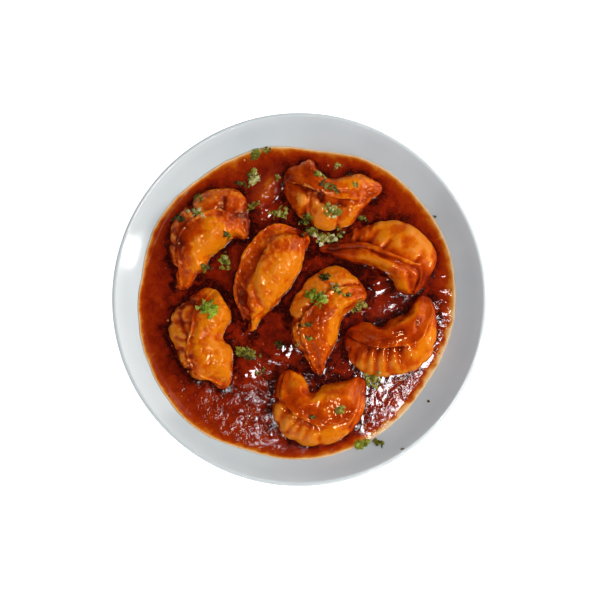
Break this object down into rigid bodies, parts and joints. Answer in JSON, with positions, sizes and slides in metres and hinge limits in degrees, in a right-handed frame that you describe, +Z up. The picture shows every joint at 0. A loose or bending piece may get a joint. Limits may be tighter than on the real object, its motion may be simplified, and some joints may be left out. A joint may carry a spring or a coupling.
{
  "type": "plate of momo dumplings",
  "caption": "Pleated crescent momo dumplings standing in chilli tomato sauce on a round white coupe plate.",
  "frame": {"origin": "middle of the plate's ring foot, on the surface that it stands on", "axes": "+Z up out of the plate, +Y towards the dumpling at the far rim, +X to the right of that view"},
  "size_m": [0.21, 0.21, 0.0295],
  "materials": {
    "plate": "smooth cool white gloss glaze",
    "sauce": "wet, oily red-brown chilli tomato sauce",
    "wrapper": "soft steamed wheat dough, orange with a wet film of sauce"
  },
  "bodies": {
    "root": {"plate": "plate", "sauce": "sauce", "momo_upper_left": "wrapper", "momo_top": "wrapper", "momo_middle": "wrapper", "momo_upper_right": "wrapper", "momo_right_of_middle": "wrapper", "momo_lower_right": "wrapper", "momo_bottom": "wrapper", "momo_lower_left": "wrapper"}
  },
  "joints": []
}
